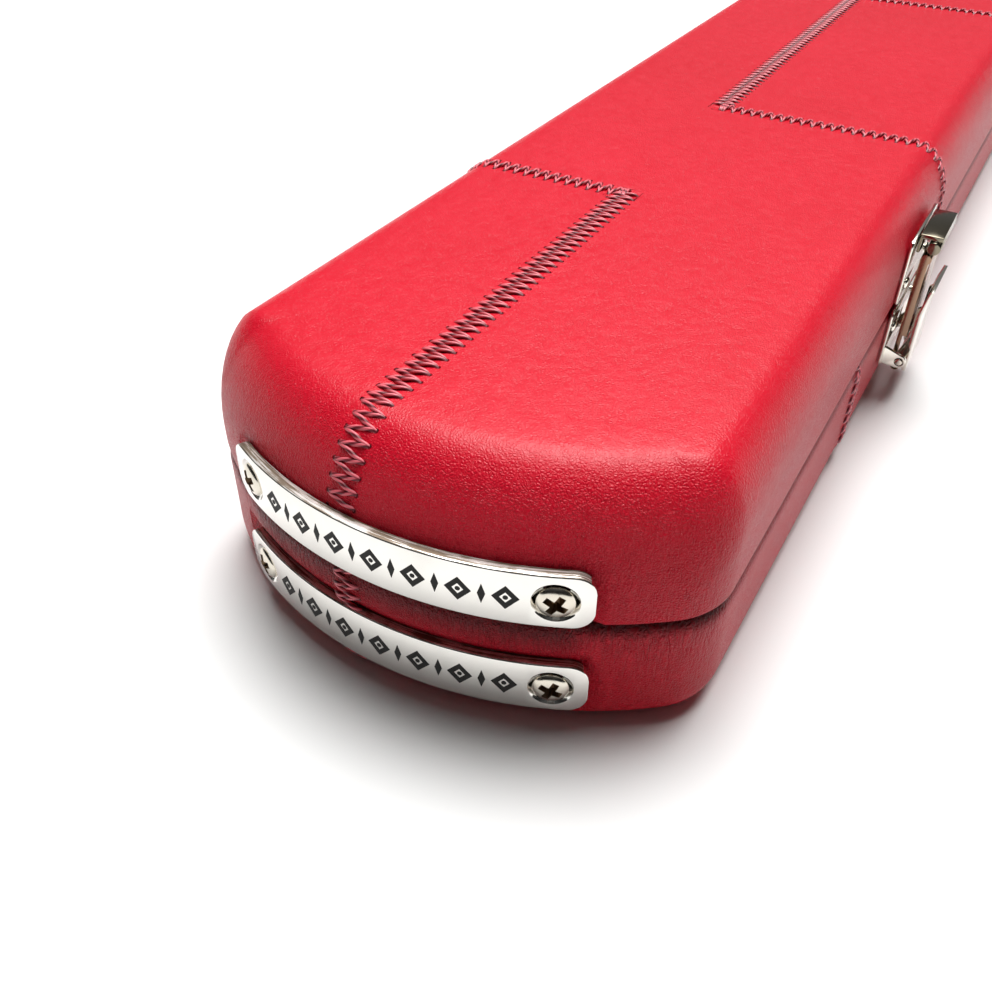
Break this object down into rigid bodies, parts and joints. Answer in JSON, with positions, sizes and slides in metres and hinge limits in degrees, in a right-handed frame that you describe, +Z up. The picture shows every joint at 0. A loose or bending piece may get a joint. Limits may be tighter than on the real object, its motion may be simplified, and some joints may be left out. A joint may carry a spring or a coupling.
{
  "type": "cue case",
  "caption": "Long hinged hard case with bowed ends, red leather shells, bent end plates, drawn-link latches and a swinging handle.",
  "frame": {"origin": "centre of the flat underside", "axes": "+X along the case away from the plated end, +Y towards the hinges, +Z up through the lid"},
  "size_m": [1.241, 0.162, 0.0565],
  "materials": {
    "red_leather": "satin dyed cowhide",
    "handle_leather": "stitched leather wrap",
    "black_velvet": "short pile over foam",
    "polished_nickel": "polished nickel plate",
    "screw_steel": "nickel-plated steel"
  },
  "bodies": {
    "base": {"base_end_plate": "polished_nickel", "base_lining": "black_velvet", "base_plate_screw_left": "screw_steel", "base_plate_screw_right": "screw_steel", "base_shell": "red_leather", "far_handle_bracket": "polished_nickel", "far_handle_pin": "screw_steel", "far_handle_screw": "polished_nickel", "far_latch_base_plate": "polished_nickel", "far_latch_base_rivet_a": "polished_nickel", "far_latch_base_rivet_b": "polished_nickel", "far_latch_lever_pin": "screw_steel", "hinge_1_base_leaf": "polished_nickel", "hinge_1_base_screw_a": "polished_nickel", "hinge_1_base_screw_b": "polished_nickel", "hinge_1_pin": "screw_steel", "hinge_2_base_leaf": "polished_nickel", "hinge_2_base_screw_a": "polished_nickel", "hinge_2_base_screw_b": "polished_nickel", "hinge_2_pin": "screw_steel", "hinge_3_base_leaf": "polished_nickel", "hinge_3_base_screw_a": "polished_nickel", "hinge_3_base_screw_b": "polished_nickel", "hinge_3_pin": "screw_steel", "near_handle_bracket": "polished_nickel", "near_handle_pin": "screw_steel", "near_handle_screw": "polished_nickel", "near_latch_base_plate": "polished_nickel", "near_latch_base_rivet_a": "polished_nickel", "near_latch_base_rivet_b": "polished_nickel", "near_latch_lever_pin": "screw_steel"},
    "lid": {"far_latch_keeper": "polished_nickel", "far_latch_lid_plate": "polished_nickel", "far_latch_lid_rivet_a": "polished_nickel", "far_latch_lid_rivet_b": "polished_nickel", "hinge_1_lid_leaf": "polished_nickel", "hinge_1_lid_screw_a": "polished_nickel", "hinge_1_lid_screw_b": "polished_nickel", "hinge_2_lid_leaf": "polished_nickel", "hinge_2_lid_screw_a": "polished_nickel", "hinge_2_lid_screw_b": "polished_nickel", "hinge_3_lid_leaf": "polished_nickel", "hinge_3_lid_screw_a": "polished_nickel", "hinge_3_lid_screw_b": "polished_nickel", "lid_end_plate": "polished_nickel", "lid_lining": "black_velvet", "lid_plate_screw_left": "screw_steel", "lid_plate_screw_right": "screw_steel", "lid_shell": "red_leather", "near_latch_keeper": "polished_nickel", "near_latch_lid_plate": "polished_nickel", "near_latch_lid_rivet_a": "polished_nickel", "near_latch_lid_rivet_b": "polished_nickel"},
    "near_lever": {"near_latch_lever": "polished_nickel", "near_latch_link_pin": "screw_steel"},
    "near_link": {"near_latch_link": "polished_nickel"},
    "far_lever": {"far_latch_lever": "polished_nickel", "far_latch_link_pin": "screw_steel"},
    "far_link": {"far_latch_link": "polished_nickel"},
    "handle": {"handle_grip": "handle_leather"}
  },
  "joints": [
    {"name": "lid_hinge", "type": "hinge", "parent": "base", "child": "lid", "pos_m": [0, 0.06, 0.0273], "axis": [-1, 0, 0], "range_deg": [0, 170]},
    {"name": "near_latch_lever_pivot", "type": "hinge", "parent": "base", "child": "near_lever", "pos_m": [-0.4525, -0.0629, 0.0116], "axis": [1, 0, 0], "range_deg": [0, 110]},
    {"name": "near_latch_link_pivot", "type": "hinge", "parent": "near_lever", "child": "near_link", "pos_m": [-0.4525, -0.062, 0.0092], "axis": [1, 0, 0], "range_deg": [-67, 1]},
    {"name": "far_latch_lever_pivot", "type": "hinge", "parent": "base", "child": "far_lever", "pos_m": [0.4525, -0.0629, 0.0116], "axis": [1, 0, 0], "range_deg": [0, 110]},
    {"name": "far_latch_link_pivot", "type": "hinge", "parent": "far_lever", "child": "far_link", "pos_m": [0.4525, -0.062, 0.0092], "axis": [1, 0, 0], "range_deg": [-67, 1]},
    {"name": "handle_swing", "type": "hinge", "parent": "base", "child": "handle", "pos_m": [0, -0.064, 0.014], "axis": [-1, 0, 0], "range_deg": [0, 88]}
  ],
  "couplings": [
    {"joint": "near_latch_link_pivot", "follows": "near_latch_lever_pivot", "ratio": -0.6},
    {"joint": "far_latch_link_pivot", "follows": "far_latch_lever_pivot", "ratio": -0.6}
  ]
}
